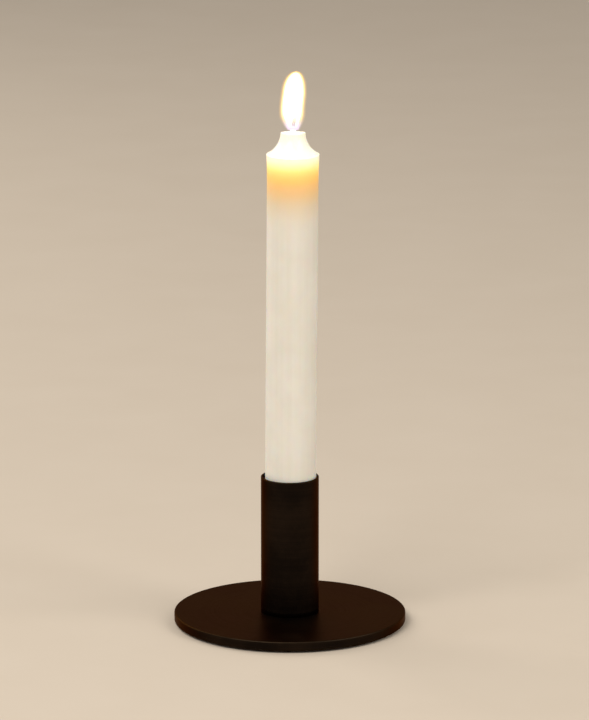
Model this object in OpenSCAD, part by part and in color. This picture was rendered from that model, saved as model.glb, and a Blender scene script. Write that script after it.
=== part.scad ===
// Low candlestick: a round base disc carries one upright socket tube, closed at its
// foot by a threaded plug that a countersunk screw holds from below. A felt pad covers
// the screw, and a candle with its wick stands in the socket and lifts out of it.
// The axis of the tube is Z, and the underside of the felt pad lies at z = 0.

/* [Base disc] */
// Diameter of the base disc
base_d = 100; // [70:1:140]
// Thickness of the base disc
base_t = 4; // [4:0.5:10]
// Radius of the eased edges around the disc
base_ease = 0.6; // [0.2:0.1:1.5]

/* [Felt pad] */
// Thickness of the felt pad
pad_t = 1; // [0.5:0.1:4]
// Step from the disc's edge in to the pad's edge
pad_inset = 4; // [1:0.5:15]

/* [Socket tube] */
// Length of the tube, from the disc up to its mouth
tube_h = 60; // [40:1:120]
// Wall thickness of the tube
tube_wall = 1; // [0.8:0.1:3]
// Radius of the eased edges at the tube's mouth
rim_ease = 0.3; // [0.1:0.05:0.4]

/* [Socket plug] */
// Height of the plug in the tube's foot
plug_h = 12; // [9:0.5:30]
// Chamfer around the plug's upper edge
plug_chamfer = 0.8; // [0.3:0.1:2]
// Metal left above the straight part of the plug's blind hole
plug_cap = 3; // [2.5:0.1:5]
// Solder gap all round the plug in the tube
solder_gap = 0.05; // [0.02:0.01:0.1]

/* [Fixing screw] */
// Outer diameter of the screw's thread
screw_d = 6; // [4:0.5:6]
// Pitch of the thread
screw_pitch = 1; // [0.7:0.05:1.25]
// Diameter of the countersunk head
head_d = 12; // [9:0.5:13]
// Height of the straight land around the head
head_land = 0.3; // [0.1:0.1:0.5]
// Depth of the head below the disc's underside
head_sink = 0.2; // [0.1:0.1:0.5]
// Width across the flats of the key socket in the head
key_af = 4; // [2.5:0.5:5]
// Depth of the key socket
key_depth = 2; // [1:0.1:3]
// Gap around the head in its countersink
head_gap = 0.05; // [0.02:0.01:0.2]
// Gap around the shank in the disc's hole
shank_gap = 0.3; // [0.1:0.05:0.5]
// Gap around the thread in the plug's hole
thread_gap = 0.05; // [0.02:0.01:0.15]
// Room left past the screw's tip
tip_gap = 0.8; // [0.3:0.1:2]

/* [Candle] */
// Diameter of the candle
candle_d = 22; // [18:0.5:30]
// Length of the candle, from its foot to the top of its neck
candle_len = 199; // [100:1:300]
// Gap all round the candle in the socket
candle_gap = 0.5; // [0.3:0.05:1.5]
// Bevel around the candle's foot
foot_bevel = 1; // [0.3:0.1:3]
// Height of the hollowed shoulder, from its lip to the top of the neck
shoulder_h = 9.8; // [6:0.1:16]
// Diameter of the neck that carries the wick
neck_d = 10.6; // [7:0.2:14]
// Step of the lip outside the candle's side
lip_flare = 0.3; // [0.1:0.05:0.6]
// Height of the flared stretch under the lip
flare_h = 8; // [3:0.5:20]
// Height of the straight land at the lip
lip_land = 0.3; // [0.1:0.1:1]
// Depth of the melt pool in the neck's top
pool_depth = 0.8; // [0.3:0.1:2]
// Width of the wax rim around the melt pool
pool_rim = 0.7; // [0.3:0.1:1.5]

/* [Wick] */
// Diameter of the wick
wick_d = 2; // [1.2:0.1:3]
// Length of wick standing above the neck
wick_out = 10; // [4:0.5:14]
// Gap around the wick in the wax
wick_gap = 0.05; // [0.02:0.01:0.2]

/* [Hidden] */
$fn = 128;
// Overlap that a cutting shape has past the face it cuts
cut = 0.5;
// Shares of the pitch in a metric thread: its depth, crest, root and each flank
thread_depth = 0.6134 * screw_pitch;
thread_crest = screw_pitch / 8;
thread_root = screw_pitch / 4;
thread_flank = (screw_pitch - thread_crest - thread_root) / 2;
// Half the point angle of the drill that made the blind hole
drill_half_angle = 60;

// Heights of the faces where the pieces meet
disc_z = pad_t;
disc_top_z = disc_z + base_t;
seat_z = disc_top_z + plug_h;

// Sizes of the socket, which follow the candle that it holds
bore_r = candle_d / 2 + candle_gap;
tube_r = bore_r + tube_wall;
plug_r = bore_r - solder_gap;
rim_r = min(rim_ease, 0.4 * tube_wall);

// Sizes of the screw, which reaches through the disc into the plug
head_z = disc_z + head_sink;
head_cone_h = (head_d - screw_d) / 2;
hole_depth = plug_h - plug_cap;
hole_r = screw_d / 2 + thread_gap;
screw_len = disc_top_z + hole_depth - tip_gap - head_z;
thread_r = screw_d / 2;
core_r = thread_r - thread_depth;
thread_z = head_land + head_cone_h;
thread_turns = floor((screw_len - thread_z - thread_flank) / screw_pitch);

// Sizes of the candle's tip: the hollow of the shoulder is an arc, upright at the neck
candle_r = candle_d / 2;
lip_r = candle_r + lip_flare;
neck_r = neck_d / 2;
lip_z = candle_len - shoulder_h;
hollow_r = (pow(shoulder_h, 2) + pow(lip_r - neck_r, 2)) / (2 * (lip_r - neck_r));
pool_r = neck_r - pool_rim;
pool_ball_r = (pow(pool_r, 2) + pow(pool_depth, 2)) / (2 * pool_depth);
wick_hole_r = wick_d / 2 + wick_gap;

// Half section of a round slab whose upper and lower edges are eased
module slab_section(r, h, ease) {
    square([r - ease, h]);
    translate([0, ease]) square([r, h - 2 * ease]);
    for (z = [ease, h - ease])
        translate([r - ease, z]) circle(ease);
}

// Half section of a tube wall whose mouth has eased edges
module tube_section(r_in, wall, h, ease) {
    translate([r_in, 0]) square([wall, h - ease]);
    translate([r_in + ease, 0]) square([wall - 2 * ease, h]);
    for (x = [ease, wall - ease])
        translate([r_in + x, h - ease]) circle(ease);
}

// Room for the screw's head, wider than the head by a gap
module head_room(gap) {
    translate([0, 0, disc_z - cut])
        cylinder(r = head_d / 2 + gap, h = cut + head_sink + head_land);
    translate([0, 0, head_z + head_land])
        cylinder(r1 = head_d / 2 + gap, r2 = screw_d / 2 + gap, h = head_cone_h);
}

// Half section of the screw's thread, one ridge for each turn of its pitch
module thread_section() {
    ridges = [
        for (turn = [0 : thread_turns - 1])
            let (z = thread_z + turn * screw_pitch)
            each [
                [thread_r, z],
                [thread_r, z + thread_crest],
                [core_r, z + thread_crest + thread_flank],
                [core_r, z + thread_crest + thread_flank + thread_root]
            ]
    ];
    polygon(concat([[0, thread_z]], ridges, [[core_r, screw_len], [0, screw_len]]));
}

module base_disc() {
    color("#33241b")
    difference() {
        translate([0, 0, disc_z]) rotate_extrude() slab_section(base_d / 2, base_t, base_ease);
        head_room(head_gap);
        translate([0, 0, disc_z - cut]) cylinder(r = screw_d / 2 + shank_gap, h = base_t + 2 * cut);
    }
}

module base_pad() {
    color("#1d1a18")
    cylinder(r = base_d / 2 - pad_inset, h = pad_t);
}

module socket_tube() {
    color("#2b1e17")
    translate([0, 0, disc_top_z])
        rotate_extrude() tube_section(bore_r, tube_wall, tube_h, rim_r);
}

module socket_plug() {
    color("#8a6a3a")
    difference() {
        translate([0, 0, disc_top_z]) {
            cylinder(r = plug_r, h = plug_h - plug_chamfer);
            translate([0, 0, plug_h - plug_chamfer])
                cylinder(r1 = plug_r, r2 = plug_r - plug_chamfer, h = plug_chamfer);
        }
        head_room(head_gap);
        translate([0, 0, disc_top_z - cut]) cylinder(r = hole_r, h = hole_depth + cut);
        translate([0, 0, disc_top_z + hole_depth])
            cylinder(r1 = hole_r, r2 = 0, h = hole_r / tan(drill_half_angle));
    }
}

module fixing_screw() {
    color("#b4b2ac")
    translate([0, 0, head_z])
    difference() {
        union() {
            cylinder(r = head_d / 2, h = head_land);
            translate([0, 0, head_land])
                cylinder(r1 = head_d / 2, r2 = thread_r, h = head_cone_h);
            rotate_extrude() thread_section();
        }
        translate([0, 0, -cut])
            cylinder(r = key_af / 2 / cos(30), h = key_depth + cut, $fn = 6);
    }
}

module candle_wax() {
    color("#efe6d2")
    translate([0, 0, seat_z])
    difference() {
        rotate_extrude()
        difference() {
            polygon([
                [0, 0],
                [candle_r - foot_bevel, 0],
                [candle_r, foot_bevel],
                [candle_r, lip_z - lip_land - flare_h],
                [lip_r, lip_z - lip_land],
                [lip_r, candle_len],
                [0, candle_len]
            ]);
            translate([neck_r + hollow_r, candle_len]) circle(hollow_r);
        }
        translate([0, 0, candle_len - pool_depth + pool_ball_r]) sphere(pool_ball_r);
        translate([0, 0, -cut]) cylinder(r = wick_hole_r, h = candle_len + 2 * cut);
    }
}

module candle_wick() {
    color("#d9cdb4")
    translate([0, 0, seat_z])
        cylinder(r = wick_d / 2, h = candle_len + wick_out);
}

base_disc();
base_pad();
socket_tube();
socket_plug();
fixing_screw();
candle_wax();
candle_wick();
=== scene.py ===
"""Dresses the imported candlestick: dark brass holder, felt foot, burning candle, plain studio.

Lengths are in metres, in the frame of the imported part: Z is the axis of the socket tube, and
z = 0 is the surface that the felt pad stands on. Finishes measure in millimetres.
"""

from __future__ import annotations

import logging
import math
from abc import ABC, abstractmethod
from collections.abc import Iterable, Mapping, Sequence
from dataclasses import dataclass, fields
from enum import Enum
from functools import reduce
from operator import add
from types import SimpleNamespace
from typing import Any, ClassVar, Union

import bmesh
import bpy
from bpy.types import ID, Material, Mesh, Node, NodeSocket, NodeTree, Object
from mathutils import Matrix, Vector

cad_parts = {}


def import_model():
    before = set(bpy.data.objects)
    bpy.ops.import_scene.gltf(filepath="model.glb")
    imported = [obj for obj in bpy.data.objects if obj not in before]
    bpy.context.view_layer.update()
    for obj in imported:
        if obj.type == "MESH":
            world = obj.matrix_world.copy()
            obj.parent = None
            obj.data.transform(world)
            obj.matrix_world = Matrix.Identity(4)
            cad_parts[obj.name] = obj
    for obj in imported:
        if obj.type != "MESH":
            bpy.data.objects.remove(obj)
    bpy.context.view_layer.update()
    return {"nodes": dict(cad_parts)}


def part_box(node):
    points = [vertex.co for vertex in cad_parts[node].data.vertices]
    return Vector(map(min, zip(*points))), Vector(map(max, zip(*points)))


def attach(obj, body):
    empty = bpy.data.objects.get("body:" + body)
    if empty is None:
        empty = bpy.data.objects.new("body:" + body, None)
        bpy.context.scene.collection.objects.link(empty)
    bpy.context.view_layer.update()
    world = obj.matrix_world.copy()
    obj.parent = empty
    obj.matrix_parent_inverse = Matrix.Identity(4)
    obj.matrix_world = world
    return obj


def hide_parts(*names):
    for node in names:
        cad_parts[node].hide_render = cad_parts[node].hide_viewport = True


log = logging.getLogger("candlestick")

MM = 0.001
PER_MM = 1.0 / MM
WELD = 0.001 * MM

Colour = tuple[float, float, float]
Point = tuple[float, float, float]
Span = tuple[float, float]


class Body(Enum):
    """The rigid bodies that pieces ride on."""

    HOLDER = "holder"
    CANDLE = "candle"


class Slot(Enum):
    """Material slot names for the kinds of new piece."""

    DARK_BRASS = "dark_brass"
    FELT = "felt"
    WAX = "wax"
    WICK = "wick_cotton"


class Draw(Enum):
    """What a random draw gives, with the ending of its sockets' identifiers."""

    FLOAT_VECTOR = ""
    FLOAT = "_001"


# Node graphs


class Field:
    """One output of a node, ready for Python arithmetic."""

    def __init__(self, graph: Graph, socket: NodeSocket) -> None:
        """Wraps a socket of a graph."""
        self.graph = graph
        self.socket = socket

    def other(self, output: str) -> Field:
        """Another output of the same node, by name."""
        return Field(self.graph, self.socket.node.outputs[output])

    def __add__(self, other: Value) -> Field:
        """This plus other."""
        return self.graph.math("ADD", self, other)

    def __radd__(self, other: Value) -> Field:
        """Other plus this."""
        return self.graph.math("ADD", other, self)

    def __sub__(self, other: Value) -> Field:
        """This minus other."""
        return self.graph.math("SUBTRACT", self, other)

    def __rsub__(self, other: Value) -> Field:
        """Other minus this."""
        return self.graph.math("SUBTRACT", other, self)

    def __mul__(self, other: Value) -> Field:
        """This times other."""
        return self.graph.math("MULTIPLY", self, other)

    def __rmul__(self, other: Value) -> Field:
        """Other times this."""
        return self.graph.math("MULTIPLY", other, self)

    def __truediv__(self, other: Value) -> Field:
        """This over other."""
        return self.graph.math("DIVIDE", self, other)

    def __rtruediv__(self, other: Value) -> Field:
        """Other over this."""
        return self.graph.math("DIVIDE", other, self)

    def __pow__(self, other: Value) -> Field:
        """This to the power of other."""
        return self.graph.math("POWER", self, other)

    def __rpow__(self, other: Value) -> Field:
        """Other to the power of this."""
        return self.graph.math("POWER", other, self)

    def between(self, low: Value, high: Value) -> Field:
        """Runs from low, where this is 0, to high, where this is 1."""
        return self * (high - low) + low

    def ease(self, start: float, end: float) -> Field:
        """Smooth step of this.

        Args:
            start: value at which the step is 0.
            end: value at which the step is 1; it may be below start.

        Returns:
            A field from 0 to 1.
        """
        rising = float(start < end)
        span = {"From Min": min(start, end), "From Max": max(start, end)}
        sockets = {"Value": self, **span, "To Min": 1.0 - rising, "To Max": rising}
        return self.graph.add("ShaderNodeMapRange", {"interpolation_type": "SMOOTHSTEP"}, sockets, "Result")


Value = Union[Field, float, int, bool, Sequence[float], ID]
Key = Union[str, int]
Settings = Union[Mapping[str, Any], None]
Sockets = Union[Mapping[Key, Value], None]


def rgba(colour: Colour | Field) -> tuple[float, ...] | Field:
    """A colour with full alpha; a field stays as it is."""
    return colour if isinstance(colour, Field) else (*colour, 1.0)


def blend(parts: Sequence[Field], shares: Sequence[float]) -> Field:
    """The sum of some fields, each times its share."""
    return reduce(add, (part * share for part, share in zip(parts, shares)))


@dataclass(frozen=True)
class Grain:
    """Soft noise: features to a unit of its vector, finer layers added, and how much it bends itself."""

    scale: float
    detail: float = 3.0
    swirl: float = 0.0


class Graph:
    """A node tree, filled by expressions and by one method for every other node."""

    def __init__(self, tree: NodeTree) -> None:
        """Starts on a tree."""
        self.tree = tree

    def add(self, kind: str, settings: Settings = None, sockets: Sockets = None, output: Key = 0) -> Field:
        """Adds one node.

        Args:
            kind: the node's type name.
            settings: its properties, which are set first; "stops" fills a colour ramp.
            sockets: values or links of its inputs, by identifier, name or place.
            output: the output to give back, by identifier, name or place.

        Returns:
            The chosen output as a field.
        """
        node = self.tree.nodes.new(kind)
        for name, value in (settings or {}).items():
            if name == "stops":
                self._fill_ramp(node, value)
            else:
                setattr(node, name, value)
        for key, value in (sockets or {}).items():
            self._feed(self._find(node.inputs, key), value)
        if not node.outputs:
            return Field(self, node.inputs[0])
        return Field(self, self._find(node.outputs, output))

    def math(self, operation: str, *values: Value) -> Field:
        """Adds a Math node on one or two values."""
        return self.add("ShaderNodeMath", {"operation": operation}, dict(enumerate(values)))

    def scaled(self, vector: Field, factor: Value) -> Field:
        """A vector times a number."""
        sockets = {"Vector": vector, "Scale": factor}
        return self.add("ShaderNodeVectorMath", {"operation": "SCALE"}, sockets)

    def joined(self, x: Value, y: Value, z: Value) -> Field:
        """A vector from three numbers."""
        return self.add("ShaderNodeCombineXYZ", None, {"X": x, "Y": y, "Z": z})

    def distance(self, x: Field, y: Field) -> Field:
        """Straight distance over two steps at right angles."""
        return self.math("SQRT", x * x + y * y)

    def split(self, vector: Field) -> tuple[Field, Field, Field]:
        """The three numbers of a vector."""
        parts = self.add("ShaderNodeSeparateXYZ", None, {0: vector})
        return parts, parts.other("Y"), parts.other("Z")

    def noise(self, vector: Field, grain: Grain) -> Field:
        """Soft noise, from about 0.2 to 0.8, read at a vector."""
        sockets = {"Vector": vector, "Scale": grain.scale, "Detail": grain.detail, "Distortion": grain.swirl}
        return self.add("ShaderNodeTexNoise", None, sockets, "Fac")

    def _feed(self, socket: NodeSocket, value: Value) -> None:
        """Links a field to an input, or sets the input's own value.

        Args:
            socket: the input.
            value: the field or the value.
        """
        if isinstance(value, Field):
            self.tree.links.new(value.socket, socket)
        else:
            socket.default_value = value

    @staticmethod
    def _find(sockets: Sequence[NodeSocket], key: Key) -> NodeSocket:
        """A socket by its identifier, or else by its name or place."""
        known = {socket.identifier: socket for socket in sockets}
        return known[key] if key in known else sockets[key]

    @staticmethod
    def _fill_ramp(node: Node, stops: Sequence[tuple[float, Colour]]) -> None:
        """Gives a colour ramp its stops, joined by a smooth curve.

        Args:
            node: the colour ramp.
            stops: places from 0 to 1, each with its colour.
        """
        ramp = node.color_ramp
        ramp.interpolation = "CARDINAL"
        while len(ramp.elements) < len(stops):
            ramp.elements.new(1.0)
        for element, (place, colour) in zip(ramp.elements, stops):
            element.position = place
            element.color = rgba(colour)


class PaintGraph(Graph):
    """A material's node tree, whose place is the point on the piece in millimetres."""

    def __init__(self, tree: NodeTree) -> None:
        """Starts on a tree with the point on the piece."""
        super().__init__(tree)
        self.place = self.scaled(self.add("ShaderNodeTexCoord", output="Object"), PER_MM)

    def round_axis(self) -> tuple[Field, Field]:
        """The point's distance from Z and its height."""
        x, y, z = self.split(self.place)
        return self.distance(x, y), z

    def mix(self, share: Value, first: Colour | Field, second: Colour | Field) -> Field:
        """A colour between two, by share."""
        sockets = {"Factor_Float": share, "A_Color": rgba(first), "B_Color": rgba(second)}
        return self.add("ShaderNodeMix", {"data_type": "RGBA"}, sockets, "Result_Color")

    def ramp(self, share: Field, places: Iterable[float], colours: Iterable[Colour]) -> Field:
        """A colour by share, through colours at places from 0 to 1."""
        stops = list(zip(places, colours))
        return self.add("ShaderNodeValToRGB", {"stops": stops}, {"Fac": share}, "Color")

    def bump(self, height: Field, depth: float) -> Field:
        """A normal that is bent by a height field from 0 to 1, depth metres deep."""
        return self.add("ShaderNodeBump", None, {"Height": height, "Distance": depth}, "Normal")


class ShapeGraph(Graph):
    """A geometry node tree, with the geometry that it starts from and its given, named inputs."""

    def __init__(self, tree: NodeTree, names: Iterable[str]) -> None:
        """Finds the tree's inputs.

        Args:
            tree: the tree, with its inputs declared.
            names: names of the inputs after the geometry.
        """
        super().__init__(tree)
        self.start = self.add("NodeGroupInput")
        self.given = SimpleNamespace(**{name: self.start.other(name) for name in names})

    def position(self) -> Field:
        """Where each point is."""
        return self.add("GeometryNodeInputPosition")

    def moved(self, geometry: Field, offset: Field) -> Field:
        """The geometry with every point moved by an offset."""
        return self.add("GeometryNodeSetPosition", None, {"Geometry": geometry, "Offset": offset})

    def curve(self, mesh: Field) -> Field:
        """The curve along a mesh of edges."""
        return self.add("GeometryNodeMeshToCurve", None, {"Mesh": mesh})

    def circle(self, sides: Value, radius: Value) -> Field:
        """A round curve."""
        sockets = {"Resolution": sides, "Radius": radius}
        return self.add("GeometryNodeCurvePrimitiveCircle", {"mode": "RADIUS"}, sockets)

    def swept(self, rail: Field, section: Field, scale: Value = 1.0, capped: bool = True) -> Field:
        """A section swept along a rail, with closed ends where it is capped."""
        sockets = {"Curve": rail, "Profile Curve": section, "Scale": scale, "Fill Caps": capped}
        return self.add("GeometryNodeCurveToMesh", None, sockets)

    def draw(self, kind: Draw, low: Value, high: Value) -> Field:
        """A random draw for each point, from low to high, by the tree's seed."""
        sockets = {f"Min{kind.value}": low, f"Max{kind.value}": high, "Seed": self.given.seed}
        return self.add("FunctionNodeRandomValue", {"data_type": kind.name}, sockets, f"Value{kind.value}")


# Finishes


@dataclass(frozen=True)
class Finish(ABC):
    """A surface finish that makes its own material."""

    name: str

    @abstractmethod
    def paint(self, graph: PaintGraph) -> dict[str, Value]:
        """Works out the surface.

        Args:
            graph: the material's node graph.

        Returns:
            Values and links for the inputs of the Principled shader, by name.
        """

    def material(self) -> Material:
        """Makes the material, once for each name.

        Returns:
            The material.
        """
        known = bpy.data.materials.get(self.name)
        if known is not None:
            return known
        made = bpy.data.materials.new(self.name)
        made.use_nodes = True
        made.node_tree.nodes.clear()
        graph = PaintGraph(made.node_tree)
        surface = graph.add("ShaderNodeBsdfPrincipled", None, self.paint(graph))
        graph.add("ShaderNodeOutputMaterial", None, {"Surface": surface})
        return made


@dataclass(frozen=True)
class DarkBrass(Finish):
    """Brass with a satin brown black patina, rubbed a little brighter along its edges.

    Edges are the radius and height of each edge that hands and cloths rub. The drift is how far the
    clouds move the lathe marks. A mix is the shares of clouds, lathe marks, specks and rubbing, in that
    order; the relief has no clouds.
    """

    edges: Sequence[Span]
    deep: Colour = (0.0095, 0.0066, 0.0050)
    warm: Colour = (0.0215, 0.0135, 0.0086)
    bare: Colour = (0.2000, 0.1250, 0.0560)
    sheen_tint: Colour = (0.64, 0.47, 0.39)
    rub_width: float = 0.8
    rub_share: float = 0.12
    rub_breaks: Span = (0.2, 1.0)
    clouds: Grain = Grain(0.045, swirl=0.4)
    specks: Grain = Grain(0.55, 4.0)
    lathe: Grain = Grain(2.6, 4.0)
    lathe_drift: float = 0.577
    patina_mix: Sequence[float] = (0.65, 0.25, 0.10)
    patina_span: Span = (0.36, 0.66)
    satin: float = 0.24
    satin_mix: Sequence[float] = (0.14, 0.16, 0.08, -0.12)
    relief_mix: Sequence[float] = (0.6, 0.4)
    relief: float = 0.018 * MM

    def paint(self, graph: PaintGraph) -> dict[str, Value]:
        """Cloudy patina, lathe marks round the axis and rubbed edges.

        Args:
            graph: the material's node graph.

        Returns:
            Inputs of the shader.
        """
        radius, z = graph.round_axis()
        clouds = graph.noise(graph.place, self.clouds)
        specks = graph.noise(graph.place, self.specks)
        lathe = graph.noise(graph.joined(radius, z, clouds * self.lathe_drift), self.lathe)
        patina = blend((clouds, lathe, specks), self.patina_mix).ease(*self.patina_span)
        gaps = [graph.distance(radius - edge_r, z - edge_z) for edge_r, edge_z in self.edges]
        near = graph.math("MINIMUM", reduce(add, (gap.ease(self.rub_width, 0.0) for gap in gaps)), 1.0)
        rubbed = near * specks.between(*self.rub_breaks) * self.rub_share
        return {
            "Base Color": graph.mix(rubbed, graph.mix(patina, self.deep, self.warm), self.bare),
            "Metallic": 1.0,
            "Roughness": blend((clouds, lathe, specks, rubbed), self.satin_mix) + self.satin,
            "Specular Tint": rgba(self.sheen_tint),
            "Normal": graph.bump(blend((lathe, specks), self.relief_mix), self.relief),
        }


@dataclass(frozen=True)
class TurnedBrass(Finish):
    """Bare brass off the lathe, with its tool marks and a little tarnish."""

    bright: Colour = (0.62, 0.42, 0.16)
    tarnish: Colour = (0.26, 0.15, 0.06)
    clouds: Grain = Grain(0.25, 4.0)
    marks: Grain = Grain(5.0, 2.0)
    tarnish_span: Span = (0.42, 0.68)
    rough: Span = (0.24, 0.42)
    relief: float = 0.01 * MM

    def paint(self, graph: PaintGraph) -> dict[str, Value]:
        """Tool marks round the axis over cloudy tarnish.

        Args:
            graph: the material's node graph.

        Returns:
            Inputs of the shader.
        """
        radius, z = graph.round_axis()
        clouds = graph.noise(graph.place, self.clouds)
        marks = graph.noise(graph.joined(radius, z, 0.0), self.marks)
        return {
            "Base Color": graph.mix(clouds.ease(*self.tarnish_span), self.bright, self.tarnish),
            "Metallic": 1.0,
            "Roughness": marks.between(*self.rough),
            "Normal": graph.bump(marks, self.relief),
        }


@dataclass(frozen=True)
class PlatedSteel(Finish):
    """Zinc plated screw steel, dull and a little mottled."""

    bright: Colour = (0.56, 0.56, 0.53)
    dull: Colour = (0.33, 0.33, 0.31)
    spangle: Grain = Grain(1.4, swirl=0.8)
    spangle_span: Span = (0.35, 0.65)
    rough: Span = (0.28, 0.48)
    relief: float = 0.008 * MM

    def paint(self, graph: PaintGraph) -> dict[str, Value]:
        """Fine crystals of the plating.

        Args:
            graph: the material's node graph.

        Returns:
            Inputs of the shader.
        """
        spangle = graph.noise(graph.place, self.spangle)
        return {
            "Base Color": graph.mix(spangle.ease(*self.spangle_span), self.dull, self.bright),
            "Metallic": 1.0,
            "Roughness": spangle.between(*self.rough),
            "Normal": graph.bump(spangle, self.relief),
        }


@dataclass(frozen=True)
class PressedFelt(Finish):
    """Dark wool felt: matted fibres with no shine."""

    shade: Colour = (0.012, 0.011, 0.010)
    lint: Colour = (0.050, 0.045, 0.040)
    coarse: Grain = Grain(0.9, 4.0, 3.5)
    fine: Grain = Grain(3.2, 3.0, 2.0)
    fibre_mix: Sequence[float] = (0.6, 0.4)
    lint_span: Span = (0.38, 0.66)
    relief: float = 0.12 * MM

    def paint(self, graph: PaintGraph) -> dict[str, Value]:
        """Swirled fibres in two sizes.

        Args:
            graph: the material's node graph.

        Returns:
            Inputs of the shader.
        """
        sizes = [graph.noise(graph.place, grain) for grain in (self.coarse, self.fine)]
        fibres = blend(sizes, self.fibre_mix)
        return {
            "Base Color": graph.mix(fibres.ease(*self.lint_span), self.shade, self.lint),
            "Roughness": 0.95,
            "Specular IOR Level": 0.15,
            "Sheen Weight": 0.35,
            "Sheen Roughness": 0.6,
            "Normal": graph.bump(fibres, self.relief),
        }


@dataclass(frozen=True)
class CandleWax(Finish):
    """Ivory wax that the flame softens and wets near the top, where the flame's light from within is painted
    in as colour and glow.

    The painted flame glow is a row of heights over the shoulder's lip, each with a base colour warmed by
    painted flame light and the painted glow there.
    Little of the height counts in the drawn marks, so that they run along the candle. A mix is the
    shares of clouds, drawn marks and grain, in that order.
    """

    lip_z: float
    ivory: Colour = (0.765, 0.725, 0.635)
    chalk: Colour = (0.810, 0.775, 0.695)
    # painted light: base colours warmed towards orange and an emission glow, rising towards the lip, stand in
    # for the flame's light through the wax
    heat: Sequence[tuple[float, Colour, Colour]] = (
        (-40.0, (0.788, 0.750, 0.665), (0.000, 0.000, 0.000)),
        (-27.0, (0.785, 0.705, 0.560), (0.012, 0.002, 0.000)),
        (-18.5, (0.795, 0.630, 0.395), (0.060, 0.014, 0.000)),
        (-11.5, (0.835, 0.580, 0.240), (0.210, 0.060, 0.001)),
        (-7.5, (0.875, 0.650, 0.240), (0.360, 0.150, 0.006)),
        (-4.5, (0.890, 0.760, 0.400), (0.450, 0.290, 0.030)),
        (-1.0, (0.900, 0.850, 0.680), (0.370, 0.320, 0.180)),
        (5.0, (0.900, 0.865, 0.760), (0.200, 0.180, 0.125)),
    )
    # heights over which the painted flame glow takes over from the plain wax
    painted_glow_span: Span = (-40.0, -16.0)
    melt_span: Span = (-6.0, 2.0)
    rough: Span = (0.44, 0.54)
    wet: float = 0.24
    clouds: Grain = Grain(0.06)
    drawn: Grain = Grain(0.5, 2.0)
    drawn_out: float = 0.02
    grain: Grain = Grain(1.6)
    mottle_mix: Sequence[float] = (0.7, 0.3)
    mottle_span: Span = (0.34, 0.66)
    relief_mix: Sequence[float] = (0.5, 0.3, 0.2)
    relief: float = 0.04 * MM

    def paint(self, graph: PaintGraph) -> dict[str, Value]:
        """Faint clouds and drawn marks, and the painted glow of the flame's light that sinks into the wax.

        Args:
            graph: the material's node graph.

        Returns:
            Inputs of the shader.
        """
        x, y, z = graph.split(graph.place)
        above = z - self.lip_z
        clouds = graph.noise(graph.place, self.clouds)
        drawn = graph.noise(graph.joined(x, y, z * self.drawn_out), self.drawn)
        grain = graph.noise(graph.place, self.grain)
        mottle = blend((clouds, drawn), self.mottle_mix).ease(*self.mottle_span)
        plain = graph.mix(mottle, self.ivory, self.chalk)
        heights, colours, glows = zip(*self.heat)
        low, high = heights[0], heights[-1]
        share = (above - low) / (high - low)
        places = [(height - low) / (high - low) for height in heights]
        # painted flame light: the base colour warms by height towards the top
        warm = graph.ramp(share, places, colours)
        return {
            # base colour: plain wax below, painted flame light above
            "Base Color": graph.mix(above.ease(*self.painted_glow_span), plain, warm),
            "Roughness": grain.between(*self.rough) - above.ease(*self.melt_span) * self.wet,
            "Specular IOR Level": 0.45,
            "Subsurface Weight": 0.5,
            "Subsurface Radius": (1.0, 0.55, 0.30),
            "Subsurface Scale": 2.5 * MM,
            # painted glow: emission by height that stands in for the flame's light through the wax
            "Emission Color": graph.ramp(share, places, glows),
            "Emission Strength": 1.0,
            "Normal": graph.bump(blend((clouds, drawn, grain), self.relief_mix), self.relief),
        }


@dataclass(frozen=True)
class CharredWick(Finish):
    """Cotton wick: waxed up to wax_z, scorched brown, then charcoal with a live ember at tip_z."""

    wax_z: float
    tip_z: float
    waxed: Colour = (0.62, 0.53, 0.38)
    scorched: Colour = (0.10, 0.045, 0.018)
    charcoal: Colour = (0.010, 0.009, 0.008)
    cold: Colour = (0.0, 0.0, 0.0)
    ember: Colour = (1.0, 0.20, 0.02)
    yarn: Grain = Grain(2.2)
    stray: float = 0.8
    scorch_span: Span = (-0.2, 0.7)
    char_span: Span = (0.2, 1.3)
    ember_span: Span = (-1.3, -0.2)
    relief: float = 0.06 * MM

    def paint(self, graph: PaintGraph) -> dict[str, Value]:
        """Bands along the wick, broken up by the yarn's own unevenness.

        Args:
            graph: the material's node graph.

        Returns:
            Inputs of the shader.
        """
        _, _, z = graph.split(graph.place)
        yarn = graph.noise(graph.place, self.yarn)
        level = z + yarn.between(-self.stray, self.stray)
        above = level - self.wax_z
        scorched = graph.mix(above.ease(*self.scorch_span), self.waxed, self.scorched)
        live = (level - self.tip_z).ease(*self.ember_span)
        return {
            "Base Color": graph.mix(above.ease(*self.char_span), scorched, self.charcoal),
            "Roughness": 0.9,
            "Specular IOR Level": 0.2,
            "Emission Color": graph.mix(live, self.cold, self.ember),
            "Emission Strength": 2.0,
            "Normal": graph.bump(yarn, self.relief),
        }


@dataclass(frozen=True)
class FlameSkin:
    """One of the nested skins of the flame.

    Share is its part of the flame's radius, cover how much it hides, and foot the share of that cover
    that is left at its foot. Its body is hot, and it cools towards its tip.
    """

    name: str
    share: float
    cover: float
    foot: float
    hot: Colour
    cool: Colour


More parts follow.
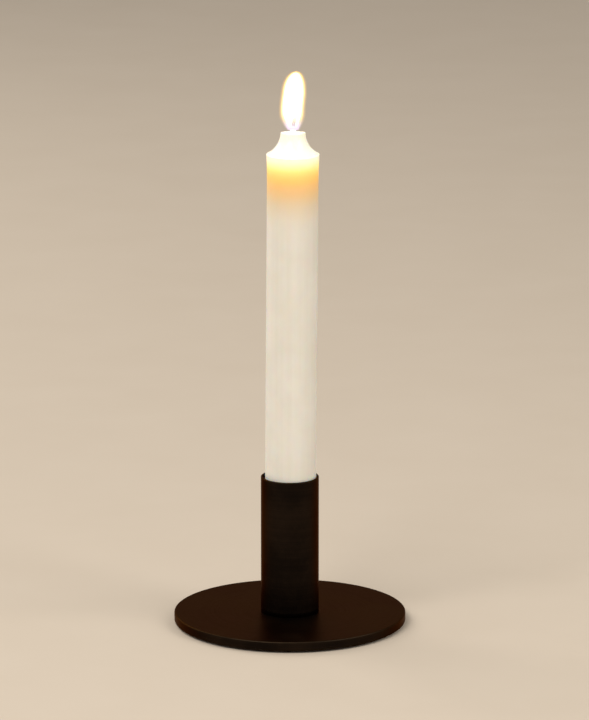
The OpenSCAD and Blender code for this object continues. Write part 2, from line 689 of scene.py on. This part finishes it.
@dataclass(frozen=True)
class FlameGlow(Finish):
    """Glow of one skin of the flame, clear and violet at the flame's root."""

    root_z: float
    tip_z: float
    skin: FlameSkin
    violet: Colour = (0.90, 0.74, 1.00)
    body_span: Span = (0.02, 0.22)
    cover_span: Span = (0.12, 0.44)
    cool_span: Span = (0.55, 1.0)

    def paint(self, graph: PaintGraph) -> dict[str, Value]:
        """Colour and cover by height alone, so that it holds from every side.

        Args:
            graph: the material's node graph.

        Returns:
            Inputs of the shader.
        """
        _, _, z = graph.split(graph.place)
        share = (z - self.root_z) / (self.tip_z - self.root_z)
        body = graph.mix(share.ease(*self.cool_span), self.skin.hot, self.skin.cool)
        return {
            "Base Color": (0.0, 0.0, 0.0, 1.0),
            "Roughness": 1.0,
            "Specular IOR Level": 0.0,
            "Emission Color": graph.mix(share.ease(*self.body_span), self.violet, body),
            "Emission Strength": 3.0,
            "Alpha": share.ease(*self.cover_span).between(self.skin.foot, 1.0) * self.skin.cover,
        }


@dataclass(frozen=True)
class PaleFloor(Finish):
    """Plain pale floor, matt and even."""

    pale: Colour = (0.60, 0.51, 0.41)
    shade: Colour = (0.57, 0.48, 0.38)
    clouds: Grain = Grain(0.02)

    def paint(self, graph: PaintGraph) -> dict[str, Value]:
        """Barely seen clouds, so that the floor isn't dead flat.

        Args:
            graph: the material's node graph.

        Returns:
            Inputs of the shader.
        """
        clouds = graph.noise(graph.place, self.clouds)
        return {
            "Base Color": graph.mix(clouds, self.pale, self.shade),
            "Roughness": 0.8,
            "Specular IOR Level": 0.2,
        }


# Shapes


def put(name: str, data: ID) -> Object:
    """Puts a new object into the scene.

    Args:
        name: name of the object.
        data: its mesh, lamp or lens.

    Returns:
        The object.
    """
    made = bpy.data.objects.new(name, data)
    bpy.context.scene.collection.objects.link(made)
    return made


def edge_mesh(name: str, points: Sequence[Point], closed: bool = False) -> Mesh:
    """Makes a mesh of edges from point to point.

    Args:
        name: name of the mesh.
        points: its points in order.
        closed: whether the last point joins the first, as in a ring.

    Returns:
        The mesh.
    """
    count = len(points)
    edges = [(i, (i + 1) % count) for i in range(count if closed else count - 1)]
    made = bpy.data.meshes.new(name)
    made.from_pydata(points, edges, [])
    return made


def close_up(mesh: Mesh) -> None:
    """Merges doubled points and turns all faces outwards.

    Args:
        mesh: the mesh to mend.
    """
    work = bmesh.new()
    work.from_mesh(mesh)
    bmesh.ops.remove_doubles(work, verts=work.verts, dist=WELD)
    bmesh.ops.recalc_face_normals(work, faces=work.faces)
    work.to_mesh(mesh)
    work.free()


class Profile:
    """Half outline of a turned piece, drawn as radius and height from point to point."""

    def __init__(self, radius: float, height: float) -> None:
        """Starts the outline at one point."""
        self.points: list[Span] = [(radius, height)]

    def line(self, radius: float, height: float, steps: int = 1) -> Profile:
        """Draws a straight stretch.

        Args:
            radius: radius of its end.
            height: height of its end.
            steps: how many equal pieces it is cut into.

        Returns:
            This profile.
        """
        start_r, start_z = self.points[-1]
        for step in range(1, steps + 1):
            share = step / steps
            self.points.append((start_r + share * (radius - start_r), start_z + share * (height - start_z)))
        return self

    def arc(self, radius: float, height: float, size: float, start: float, end: float, steps: int) -> Profile:
        """Draws a round stretch.

        Args:
            radius: radius of the arc's centre.
            height: height of the arc's centre.
            size: the arc's own radius.
            start: angle where it starts, in degrees from outwards, towards up.
            end: angle where it ends.
            steps: how many pieces it is cut into.

        Returns:
            This profile.
        """
        for step in range(steps + 1):
            angle = math.radians(start + (end - start) * step / steps)
            self.points.append((radius + size * math.cos(angle), height + size * math.sin(angle)))
        return self

    def mesh(self, name: str, closed: bool = False) -> Mesh:
        """Makes the outline a mesh of edges, without doubled points.

        Args:
            name: name of the mesh.
            closed: whether its last point joins its first, as in a ring.

        Returns:
            The mesh, in the plane of X and Z.
        """
        kept: list[Span] = []
        for point in self.points:
            if not kept or math.dist(point, kept[-1]) > WELD:
                kept.append(point)
        return edge_mesh(name, [(r, 0.0, z) for r, z in kept], closed)


@dataclass(kw_only=True)
class Recipe(ABC):
    """A geometry node tree, run once on a starting mesh, with each field as an input of that name."""

    finish: Finish
    KINDS: ClassVar[Mapping[type, str]] = {
        int: "NodeSocketInt",
        float: "NodeSocketFloat",
        Material: "NodeSocketMaterial",
    }

    @abstractmethod
    def wire(self, graph: ShapeGraph) -> Field:
        """Wires the tree.

        Args:
            graph: the tree's graph, with its start and its inputs.

        Returns:
            The geometry, before its material.
        """

    def make(self, name: str, start: Mesh) -> Object:
        """Runs the tree on a mesh and keeps the plain result.

        Args:
            name: name of the piece.
            start: mesh that the tree starts from.

        Returns:
            The piece, with no modifier left on it.
        """
        values = {part.name: getattr(self, part.name) for part in fields(self)}
        values["finish"] = self.finish.material()
        piece = put(name, start)
        modifier = piece.modifiers.new(name, "NODES")
        modifier.node_group = self._tree(name, values)
        for socket in modifier.node_group.interface.items_tree:
            if socket.name in values:
                modifier[socket.identifier] = values[socket.name]
        seen = piece.evaluated_get(bpy.context.evaluated_depsgraph_get())
        result = bpy.data.meshes.new_from_object(seen)
        piece.modifiers.remove(modifier)
        piece.data = result
        result.name = name
        close_up(result)
        return piece

    def _tree(self, name: str, values: Mapping[str, Value]) -> NodeTree:
        """Builds the tree.

        Args:
            name: name of the piece.
            values: value of each input, by name.

        Returns:
            The tree.
        """
        tree = bpy.data.node_groups.new(f"{name}_tree", "GeometryNodeTree")
        for way in ("INPUT", "OUTPUT"):
            tree.interface.new_socket("Geometry", in_out=way, socket_type="NodeSocketGeometry")
        for label, value in values.items():
            tree.interface.new_socket(label, in_out="INPUT", socket_type=self.KINDS[type(value)])
        graph = ShapeGraph(tree, values)
        smooth = graph.add("GeometryNodeSetShadeSmooth", None, {"Geometry": self.wire(graph)})
        real = graph.add("GeometryNodeRealizeInstances", None, {"Geometry": smooth})
        dress = {"Geometry": real, "Material": graph.given.finish}
        graph.add("NodeGroupOutput", None, {0: graph.add("GeometryNodeSetMaterial", None, dress)})
        return tree


@dataclass(kw_only=True)
class Turned(Recipe):
    """Spins a half outline about Z, in so many segments."""

    segments: int
    RAIL: ClassVar[float] = 1.0 * MM

    def wire(self, graph: ShapeGraph) -> Field:
        """Sweeps the outline along a small circle, offset so that its radii come out true.

        Args:
            graph: the tree's graph.

        Returns:
            The spun mesh.
        """
        radius, _, height = graph.split(graph.position())
        flat = graph.joined(radius - self.RAIL, height * -1.0, 0.0)
        laid = graph.add("GeometryNodeSetPosition", None, {"Geometry": graph.start, "Position": flat})
        rail = graph.circle(graph.given.segments, self.RAIL)
        spun = graph.swept(rail, graph.curve(laid), capped=False)
        welded = graph.add("GeometryNodeMergeByDistance", None, {"Geometry": spun, "Distance": WELD})
        return self.shape(graph, welded)

    def shape(self, graph: ShapeGraph, spun: Field) -> Field:
        """Changes the spun mesh; a plain turned piece stays as it is."""
        return spun


@dataclass(kw_only=True)
class Melted(Turned):
    """A turned candle whose top the flame has softened unevenly.

    Above soft_z the wax stands in or out by its slump, below by its wander, and the back of the neck
    sags below top_z.
    """

    soft_z: float
    slump: float
    wander: float
    top_z: float
    sag: float
    LUMPS: ClassVar[Grain] = Grain(0.16, 2.0)
    SOFTENS: ClassVar[Span] = (0.0, 5.0)
    BACK: ClassVar[Span] = (-2.0, 5.0)
    NEAR_TOP: ClassVar[Span] = (-5.0, -0.5)

    def shape(self, graph: ShapeGraph, spun: Field) -> Field:
        """Moves points along their normals by soft noise, and lowers the back of the neck.

        Args:
            graph: the tree's graph.
            spun: the spun mesh.

        Returns:
            The melted mesh.
        """
        given = graph.given
        place = graph.scaled(graph.position(), PER_MM)
        _, y, z = graph.split(place)
        warm = (z - given.soft_z * PER_MM).ease(*self.SOFTENS)
        reach = warm.between(given.wander, given.slump)
        swell = graph.noise(place, self.LUMPS).between(-1.0, 1.0)
        out = graph.add("GeometryNodeInputNormal")
        uneven = graph.moved(spun, graph.scaled(out, swell * reach))
        behind = y.ease(*self.BACK) * (z - given.top_z * PER_MM).ease(*self.NEAR_TOP)
        return graph.moved(uneven, graph.joined(0.0, 0.0, behind * given.sag * -1.0))


@dataclass(kw_only=True)
class Frayed(Turned):
    """A turned felt disc whose cut edge isn't quite round: it stands in or out by its fray."""

    edge_r: float
    fray: float
    LUMPS: ClassVar[Grain] = Grain(0.5)
    RIM: ClassVar[Span] = (-3.0, 0.0)

    def shape(self, graph: ShapeGraph, spun: Field) -> Field:
        """Moves the edge in and out by noise, and leaves the middle alone.

        Args:
            graph: the tree's graph.
            spun: the spun mesh.

        Returns:
            The frayed mesh.
        """
        here = graph.position()
        x, y, _ = graph.split(here)
        radius = graph.distance(x, y)
        rim = ((radius - graph.given.edge_r) * PER_MM).ease(*self.RIM)
        swell = graph.noise(graph.scaled(here, PER_MM), self.LUMPS).between(-1.0, 1.0)
        step = swell * rim * graph.given.fray / graph.math("MAXIMUM", radius, MM)
        return graph.moved(spun, graph.joined(x * step, y * step, 0.0))


@dataclass(kw_only=True)
class Swaying(Turned):
    """A turned flame skin whose tip leans towards +X and whose belly stands the other way.

    The heights are those of the whole flame, and the belly ends at a share of them.
    """

    root_z: float
    tip_z: float
    lean: float
    belly: float
    belly_end: float = 0.60
    CURL: ClassVar[float] = 4.0

    def shape(self, graph: ShapeGraph, spun: Field) -> Field:
        """Moves each level sideways: a little back at first, then over towards the tip.

        Args:
            graph: the tree's graph.
            spun: the spun mesh.

        Returns:
            The leaning mesh.
        """
        given = graph.given
        _, _, z = graph.split(graph.position())
        share = (z - given.root_z) / (given.tip_z - given.root_z)
        back = graph.math("SINE", graph.math("MINIMUM", share / given.belly_end, 1.0) * math.pi)
        aside = given.lean * share**self.CURL - given.belly * back
        return graph.moved(spun, graph.joined(aside, 0.0, 0.0))


@dataclass(kw_only=True)
class Braid(Recipe):
    """Plies strands round a path.

    The lay is the length in which a strand goes once round, the offset its distance from the path, and
    the taper the share of its radius that is left at the burnt end.
    """

    length: float
    strands: int = 3
    lay: float = 5.0 * MM
    offset: float = 0.5 * MM
    strand_r: float = 0.5 * MM
    step: float = 0.4 * MM
    taper: float = 0.45
    SIDES: ClassVar[int] = 8
    BURNT: ClassVar[Span] = (0.0, 2.5)

    def wire(self, graph: ShapeGraph) -> Field:
        """Copies the path once for each strand, winds each copy and gives it a round section.

        Args:
            graph: the tree's graph.

        Returns:
            The plied strands.
        """
        given = graph.given
        sockets = {"Curve": graph.curve(graph.start), "Length": given.step}
        even = graph.add("GeometryNodeResampleCurve", {"mode": "LENGTH"}, sockets)
        sockets = {"Geometry": even, "Amount": given.strands}
        copies = graph.add("GeometryNodeDuplicateElements", {"domain": "SPLINE"}, sockets)
        along = graph.add("GeometryNodeSplineParameter", output="Length")
        angle = (along / given.lay + copies.other("Duplicate Index") / given.strands) * math.tau
        x, y = (graph.math(wave, angle) * given.offset for wave in ("COSINE", "SINE"))
        left = ((given.length - along) * PER_MM).ease(*self.BURNT)
        section = graph.circle(self.SIDES, given.strand_r)
        wound = graph.moved(copies, graph.joined(x, y, 0.0))
        return graph.swept(wound, section, left.between(given.taper, 1.0))


@dataclass(kw_only=True)
class Fuzz(Recipe):
    """Sets loose fibres on the upright edge of a felt disc, so many to the square metre.

    No fibre passes the disc's underside or its upper face. The longest fibre has the full length.
    """

    low_z: float
    high_z: float
    density: float = 9.0e6
    fibre: float = 1.1 * MM
    fibre_r: float = 0.025 * MM
    seed: int = 7
    SIDES: ClassVar[int] = 3
    RINGS: ClassVar[int] = 4
    BEND: ClassVar[float] = 0.6
    REACH: ClassVar[Span] = (0.45, 0.9)
    STEEP: ClassVar[float] = 0.5
    TILT: ClassVar[float] = 0.35
    SHORTEST: ClassVar[float] = 0.35

    def wire(self, graph: ShapeGraph) -> Field:
        """Scatters points on the edge, stands a fibre on each, and presses all into the pad's height.

        Args:
            graph: the tree's graph.

        Returns:
            The fibres.
        """
        given = graph.given
        _, _, slope = graph.split(graph.add("GeometryNodeInputNormal"))
        upright = graph.math("LESS_THAN", graph.math("ABSOLUTE", slope), self.STEEP)
        sockets = {"Selection": upright, "Density": given.density, "Seed": given.seed}
        points = graph.add("GeometryNodeDistributePointsOnFaces", None, {"Mesh": graph.start, **sockets})
        most = (self.TILT, self.TILT, math.pi)
        spin = graph.draw(Draw.FLOAT_VECTOR, tuple(-turn for turn in most), most)
        sockets = {"Rotation": points.other("Rotation"), "Rotate By": spin}
        turned = graph.add("FunctionNodeRotateRotation", {"rotation_space": "LOCAL"}, sockets)
        size = graph.draw(Draw.FLOAT, self.SHORTEST, 1.0)
        sockets = {"Points": points, "Instance": self._fibre(graph), "Rotation": turned, "Scale": size}
        stood = graph.add("GeometryNodeInstanceOnPoints", None, sockets)
        real = graph.add("GeometryNodeRealizeInstances", None, {"Geometry": stood})
        x, y, z = graph.split(graph.position())
        middle = (given.low_z + given.high_z) * 0.5
        half = (given.high_z - given.low_z) * 0.5
        pressed = middle + half * graph.math("TANH", (z - middle) / half)
        sockets = {"Geometry": real, "Position": graph.joined(x, y, pressed)}
        return graph.add("GeometryNodeSetPosition", None, sockets)

    def _fibre(self, graph: ShapeGraph) -> Field:
        """One bent fibre.

        Args:
            graph: the tree's graph.

        Returns:
            Its mesh, standing along Z.
        """
        fibre = graph.given.fibre
        across, up = self.REACH
        sockets = {
            "Resolution": self.RINGS,
            "Start": (0.0, 0.0, 0.0),
            "Middle": graph.joined(0.0, 0.0, fibre * self.BEND),
            "End": graph.joined(fibre * across, 0.0, fibre * up),
        }
        line = graph.add("GeometryNodeCurveQuadraticBezier", None, sockets)
        return graph.swept(line, graph.circle(self.SIDES, graph.given.fibre_r))


# Sub-assemblies


def settle(piece: Object, body: Body, slot: Slot | None = None, *nodes: str) -> Object:
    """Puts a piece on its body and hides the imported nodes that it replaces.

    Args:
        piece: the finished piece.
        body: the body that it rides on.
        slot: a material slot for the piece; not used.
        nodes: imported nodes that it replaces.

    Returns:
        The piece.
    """
    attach(piece, body.value)
    if nodes:
        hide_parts(*nodes)
    return piece


def repaint(node: Object, finish: Finish) -> Object:
    """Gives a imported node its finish, in the one material slot that it has."""
    node.data.materials[0] = finish.material()
    return node


@dataclass
class Holder:
    """Base disc, felt pad, socket tube, and the plug and screw that join them.

    The guard is the distance of the ring that keeps a face flat beside a round.
    """

    nodes: Mapping[str, Object]
    edge_round: float = 0.6 * MM
    rim_round: float = 0.3 * MM
    tube_wall: float = 1.0 * MM
    screw_hole_r: float = 3.3 * MM
    head_room_r: float = 6.05 * MM
    head_room_land: float = 0.5 * MM
    felt_round: float = 0.3 * MM
    felt_fray: float = 0.25 * MM
    felt_rim: float = 3.0 * MM
    guard: float = 0.12 * MM
    disc_segments: int = 224
    tube_segments: int = 128
    felt_segments: int = 288
    round_steps: int = 6
    felt_round_steps: int = 3

    def build(self) -> list[Object]:
        """Builds and dresses the holder.

        Returns:
            Its pieces.
        """
        return [
            self._disc(),
            self._tube(),
            *self._pad(),
            repaint(self.nodes["socket_plug"], TurnedBrass("turned_brass")),
            repaint(self.nodes["fixing_screw"], PlatedSteel("plated_steel")),
        ]

    def _disc(self) -> Object:
        """Round plate with eased edges and a countersunk hole.

        Returns:
            The piece.
        """
        low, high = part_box("base_disc")
        r, soft, guard = high.x, self.edge_round, self.guard
        hole, head, land = self.screw_hole_r, self.head_room_r, low.z + self.head_room_land
        outline = (
            Profile(hole, high.z)
            .line(r - soft - guard, high.z, steps=24)
            .arc(r - soft, high.z - soft, soft, 90.0, 0.0, self.round_steps)
            .line(r, high.z - soft - guard)
            .line(r, low.z + soft + guard)
            .arc(r - soft, low.z + soft, soft, 0.0, -90.0, self.round_steps)
            .line(r - soft - guard, low.z)
            .line(head, low.z, steps=8)
            .line(head, land)
            .line(hole, land + head - hole)
        )
        finish = DarkBrass("dark_brass_disc", [(r * PER_MM, z * PER_MM) for z in (high.z, low.z)])
        recipe = Turned(finish=finish, segments=self.disc_segments)
        disc = recipe.make("base_plate", outline.mesh("base_plate", closed=True))
        return settle(disc, Body.HOLDER, Slot.DARK_BRASS, "base_disc")

    def _tube(self) -> Object:
        """Plain tube with an eased mouth.

        Returns:
            The piece.
        """
        low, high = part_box("socket_tube")
        r_out, soft = high.x, self.rim_round
        r_in = r_out - self.tube_wall
        mouth = high.z - soft
        outline = (
            Profile(r_out, low.z)
            .line(r_out, mouth - self.guard, steps=30)
            .arc(r_out - soft, mouth, soft, 0.0, 90.0, self.round_steps)
            .arc(r_in + soft, mouth, soft, 90.0, 180.0, self.round_steps)
            .line(r_in, mouth - self.guard)
            .line(r_in, low.z, steps=30)
        )
        finish = DarkBrass("dark_brass_tube", [(r_out * PER_MM, high.z * PER_MM)])
        recipe = Turned(finish=finish, segments=self.tube_segments)
        tube = recipe.make("socket_sleeve", outline.mesh("socket_sleeve", closed=True))
        return settle(tube, Body.HOLDER, Slot.DARK_BRASS, "socket_tube")

    def _pad(self) -> tuple[Object, Object]:
        """Cut felt disc under the plate, with loose fibres round its edge.

        Returns:
            The disc and its fibres.
        """
        low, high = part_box("base_pad")
        r, soft = high.x, self.felt_round
        outline = (
            Profile(0.0, high.z)
            .line(r - self.felt_rim, high.z, steps=12)
            .line(r - soft, high.z, steps=6)
            .arc(r - soft, high.z - soft, soft, 90.0, 0.0, self.felt_round_steps)
            .arc(r - soft, low.z + soft, soft, 0.0, -90.0, self.felt_round_steps)
            .line(r - self.felt_rim, low.z, steps=6)
            .line(0.0, low.z, steps=12)
        )
        finish = PressedFelt("pressed_felt")
        recipe = Frayed(finish=finish, segments=self.felt_segments, edge_r=r, fray=self.felt_fray)
        pad = recipe.make("felt_foot", outline.mesh("felt_foot"))
        settle(pad, Body.HOLDER, Slot.FELT, "base_pad")
        fuzz = Fuzz(finish=finish, low_z=low.z, high_z=high.z).make("felt_fuzz", pad.data.copy())
        settle(fuzz, Body.HOLDER, Slot.FELT)
        return pad, fuzz


@dataclass
class Candle:
    """Wax, wick and flame, leaning a little within the play of the socket.

    The hollow of the shoulder ends some degrees short of upright, at the neck. The pool's floor, the
    collar of wax round the wick and the hollow at the flame's root are each given as radius and height,
    in shares of the whole. A skin of the flame steps in at root and tip by shares of its step at the
    side. The flame closes by two powers, and its rings crowd towards the tip by another.
    """

    shoulder_h: float = 9.8 * MM
    hollow_end: float = 3.0
    neck_r: float = 5.3 * MM
    neck_round: float = 0.5 * MM
    neck_sag: float = 0.7 * MM
    side_r: float = 11.0 * MM
    flare_h: float = 8.0 * MM
    foot_bevel: float = 1.0 * MM
    lip_round: float = 0.3 * MM
    lip_step: float = 0.05 * MM
    pool_depth: float = 0.8 * MM
    pool_rim: float = 0.9 * MM
    pool_edge: float = 0.3
    pool_floor: Span = (0.75, 0.1)
    collar_r: float = 1.9 * MM
    collar_h: float = 2.1 * MM
    collar: Sequence[Span] = ((0.70, 0.35), (0.62, 0.85))
    melt_depth: float = 3.0 * MM
    slump: float = 0.22 * MM
    wander: float = 0.05 * MM
    wax_segments: int = 144
    wick_hole_r: float = 1.05 * MM
    wick_bend: float = 2.4 * MM
    wick_out: float = 9.4 * MM
    wick_curl: float = 1.35
    wick_swing: float = 0.25
    wick_powers: Span = (2.2, 2.0)
    wick_steps: int = 24
    flame_r: float = 5.65 * MM
    flame_root: float = 0.8 * MM
    flame_h: float = 25.6 * MM
    flame_lean: float = 1.2 * MM
    flame_belly: float = 0.45 * MM
    flame_inset: Span = (0.3, 0.5)
    flame_root_share: float = 0.48
    flame_opened: float = 0.28
    flame_widest: float = 0.40
    flame_close: Span = (3.8, 0.57)
    flame_hollow: Sequence[Span] = ((0.0, 0.06), (0.45, 0.04), (0.80, 0.01))
    flame_crowd: float = 0.9
    flame_steps: int = 40
    flame_segments: int = 56
    lean_degrees: float = 0.40
    skins: Sequence[FlameSkin] = (
        FlameSkin("flame_halo", 1.00, 0.030, 0.60, (1.00, 0.56, 0.12), (1.00, 0.50, 0.08)),
        FlameSkin("flame_mantle", 0.92, 0.055, 0.55, (1.00, 0.64, 0.18), (1.00, 0.58, 0.12)),
        FlameSkin("flame_fringe", 0.85, 0.10, 0.45, (1.00, 0.74, 0.27), (1.00, 0.68, 0.19)),
        FlameSkin("flame_veil", 0.79, 0.19, 0.32, (1.00, 0.84, 0.42), (1.00, 0.79, 0.30)),
        FlameSkin("flame_body", 0.73, 0.40, 0.16, (1.00, 0.93, 0.62), (1.00, 0.88, 0.46)),
        FlameSkin("flame_heart", 0.64, 0.85, 0.12, (1.00, 0.98, 0.90), (1.00, 0.96, 0.78)),
    )

    def build(self) -> list[Object]:
        """Builds and dresses the candle and its flame, and gives their pieces."""
        return [self._wax(), self._wick(), *self._flame()]

    def _leaned(self, piece: Object) -> Object:
        """Leans a piece towards +X on the edge of the candle's foot.

        Args:
            piece: the piece, still upright.

        Returns:
            The piece.
        """
        low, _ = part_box("candle_wax")
        foot = Matrix.Translation((self.side_r - self.foot_bevel, 0.0, low.z))
        lean = Matrix.Rotation(math.radians(self.lean_degrees), 4, "Y")
        piece.data.transform(foot @ lean @ foot.inverted())
        return piece

    def _wax(self) -> Object:
        """Straight candle with a hollowed shoulder, a neck and a melt pool.

        Returns:
            The piece.
        """
        low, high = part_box("candle_wax")
        top, lip_r = high.z, high.x
        lip_z = top - self.shoulder_h
        step = lip_r - self.neck_r
        hollow = (self.shoulder_h**2 + step**2) / (2.0 * step)
        lip_angle = -180.0 + math.degrees(math.asin(self.shoulder_h / hollow))
        soft = self.neck_round
        pool_r = self.neck_r - self.pool_rim
        pool_z = top - self.pool_depth
        floor_r, floor_z = self.pool_floor
        outline = (
            Profile(self.wick_hole_r, low.z)
            .line(self.side_r - self.foot_bevel, low.z, steps=6)
            .line(self.side_r, low.z + self.foot_bevel, steps=3)
            .line(self.side_r, lip_z - self.flare_h, steps=90)
            .line(lip_r - self.lip_step, lip_z - self.lip_round, steps=10)
            .line(lip_r, lip_z - 0.5 * self.lip_round)
            .arc(self.neck_r + hollow, top, hollow, lip_angle, -180.0 + self.hollow_end, steps=26)
            .line(self.neck_r, top - soft, steps=2)
            .arc(self.neck_r - soft, top - soft, soft, 0.0, 90.0, steps=5)
            .line(pool_r, top - self.pool_edge * self.pool_depth, steps=2)
            .line(floor_r * pool_r, pool_z + floor_z * self.pool_depth, steps=3)
            .line(self.collar_r, pool_z, steps=3)
        )
        for across, up in self.collar:
            outline.line(across * self.collar_r, pool_z + up * self.collar_h, steps=3)
        outline.line(self.wick_hole_r, pool_z + self.collar_h, steps=2)
        outline.line(self.wick_hole_r, low.z, steps=6)
        recipe = Melted(
            finish=CandleWax("ivory_wax", lip_z * PER_MM),
            segments=self.wax_segments,
            soft_z=lip_z - self.melt_depth,
            slump=self.slump,
            wander=self.wander,
            top_z=top,
            sag=self.neck_sag,
        )
        wax = recipe.make("candle_body", outline.mesh("candle_body", closed=True))
        return settle(self._leaned(wax), Body.CANDLE, Slot.WAX, "candle_wax")

    def _wick(self) -> Object:
        """Plied wick, straight in the wax and curled over where it burns.

        Returns:
            The piece.
        """
        low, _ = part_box("candle_wick")
        _, wax_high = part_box("candle_wax")
        free_z = wax_high.z - self.pool_depth
        aside, back = self.wick_powers
        path = [(0.0, 0.0, low.z)]
        for step in range(self.wick_steps + 1):
            share = step / self.wick_steps
            x = self.wick_bend * share**aside
            y = self.wick_swing * self.wick_bend * share**back
            rise = math.sin(self.wick_curl * share) / math.sin(self.wick_curl)
            path.append((x, y, free_z + self.wick_out * rise))
        length = sum(math.dist(a, b) for a, b in zip(path, path[1:]))
        leaves_z = free_z + self.collar_h
        finish = CharredWick("charred_wick", leaves_z * PER_MM, path[-1][2] * PER_MM)
        wick = Braid(finish=finish, length=length).make("wick_braid", edge_mesh("wick_path", path))
        return settle(self._leaned(wick), Body.CANDLE, Slot.WICK, "candle_wick")

    def _flame(self) -> list[Object]:
        """Nested glowing skins, from the clear halo in to the bright heart.

        Returns:
            The pieces.
        """
        _, wax_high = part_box("candle_wax")
        root = wax_high.z + self.flame_root
        tip = root + self.flame_h
        at_root, at_tip = self.flame_inset
        pieces = []
        for skin in self.skins:
            inset = (1.0 - skin.share) * self.flame_r
            outline = self._flame_outline(root + at_root * inset, tip - at_tip * inset, skin.share)
            recipe = Swaying(
                finish=FlameGlow(f"{skin.name}_glow", root * PER_MM, tip * PER_MM, skin),
                segments=self.flame_segments,
                root_z=root,
                tip_z=tip,
                lean=self.flame_lean,
                belly=self.flame_belly,
            )
            piece = recipe.make(skin.name, outline.mesh(skin.name))
            piece.visible_shadow = False
            pieces.append(settle(self._leaned(piece), Body.CANDLE))
        return pieces

    def _flame_outline(self, low: float, high: float, layer: float) -> Profile:
        """Outline of one skin: hollow round the wick, opening at once, with long sides and a blunt tip.

        Args:
            low: height of the skin's lowest edge.
            high: height of its tip.
            layer: the skin's share of the flame's radius.

        Returns:
            The outline, from the hollow over the foot up to the tip.
        """
        height = high - low
        root = self.flame_r * self._flame_width(0.0, layer)
        (start_r, start_z), *bends = self.flame_hollow
        outline = Profile(start_r * root, low + start_z * height)
        for across, up in bends:
            outline.line(across * root, low + up * height, steps=3)
        outline.line(root, low)
        for step in range(1, self.flame_steps):
            share = (step / self.flame_steps) ** self.flame_crowd
            outline.line(self.flame_r * self._flame_width(share, layer), low + share * height)
        return outline.line(0.0, high)

    def _flame_width(self, share: float, layer: float) -> float:
        """Width of one skin at a level of the flame.

        Args:
            share: level, from 0 at the root to 1 at the tip.
            layer: the skin's share of the flame's radius.

        Returns:
            The skin's radius there, as a share of the flame's radius.
        """
        if share < self.flame_opened:
            opened = math.sin(0.5 * math.pi * share / self.flame_opened)
            return layer * (self.flame_root_share + (1.0 - self.flame_root_share) * opened)
        above = max(0.0, share - self.flame_widest) / (1.0 - self.flame_widest)
        inner, outer = self.flame_close
        return layer * (1.0 - above**inner) ** outer


# Studio


@dataclass(frozen=True)
class Softbox:
    """A square soft lamp that faces the candlestick."""

    name: str
    place: Point
    size: float
    watts: float
    tint: Colour = (1.0, 1.0, 1.0)

    def hang(self, aim: Vector) -> None:
        """Hangs the lamp.

        Args:
            aim: point that it faces.
        """
        lamp = bpy.data.lights.new(self.name, "AREA")
        lamp.size = self.size
        lamp.energy = self.watts
        lamp.color = self.tint
        hung = put(self.name, lamp)
        hung.location = self.place
        hung.rotation_euler = (aim - Vector(self.place)).to_track_quat("-Z", "Y").to_euler()


@dataclass
class Studio:
    """Pale floor, soft light and the camera at the photograph's angle."""

    floor_half: float = 6.0
    aim: Point = (0.0, 0.0, 0.11)
    camera_place: Point = (0.002, -2.5, 0.717)
    camera_pitch: float = 13.51
    lens_mm: float = 300.0
    world_tint: Colour = (1.0, 0.98, 0.95)
    world_level: float = 0.45
    lamps: Sequence[Softbox] = (
        Softbox("key_softbox", (-0.65, -0.90, 1.30), 1.0, 17.0, (1.0, 0.98, 0.95)),
        Softbox("side_softbox", (1.05, -0.50, 0.90), 0.8, 7.5, (1.0, 0.98, 0.94)),
        Softbox("back_softbox", (-0.90, 0.90, 0.90), 0.8, 7.0, (1.0, 0.97, 0.92)),
    )

    def build(self) -> None:
        """Sets floor, world, lamps and camera."""
        bpy.context.scene.view_settings.view_transform = "Standard"
        self._floor()
        self._world()
        for lamp in self.lamps:
            lamp.hang(Vector(self.aim))
        self._camera()

    def _floor(self) -> None:
        """Lays one large plane under the felt."""
        half = self.floor_half
        corners = [(-half, -half, 0.0), (half, -half, 0.0), (half, half, 0.0), (-half, half, 0.0)]
        mesh = bpy.data.meshes.new("floor")
        mesh.from_pydata(corners, [], [(0, 1, 2, 3)])
        mesh.materials.append(PaleFloor("pale_floor").material())
        put("floor", mesh)

    def _world(self) -> None:
        """Lights the room evenly."""
        world = bpy.data.worlds.new("studio")
        world.use_nodes = True
        sky = world.node_tree.nodes["Background"]
        sky.inputs["Color"].default_value = rgba(self.world_tint)
        sky.inputs["Strength"].default_value = self.world_level
        bpy.context.scene.world = world

    def _camera(self) -> None:
        """Stands the camera in front, looking a little down."""
        lens = bpy.data.cameras.new("camera")
        lens.lens = self.lens_mm
        lens.clip_end = 4.0 * self.floor_half
        camera = put("camera", lens)
        camera.location = self.camera_place
        camera.rotation_euler = (math.radians(90.0 - self.camera_pitch), 0.0, 0.0)
        bpy.context.scene.camera = camera


def main() -> None:
    """Loads the frame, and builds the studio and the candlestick."""
    logging.basicConfig(level=logging.INFO, format="%(name)s %(message)s")
    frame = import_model()
    Studio().build()
    for part in (Holder(frame["nodes"]), Candle()):
        for piece in part.build():
            log.info("%s: %d faces", piece.name, len(piece.data.polygons))
    bpy.context.view_layer.update()


if __name__ == "__main__":
    main()
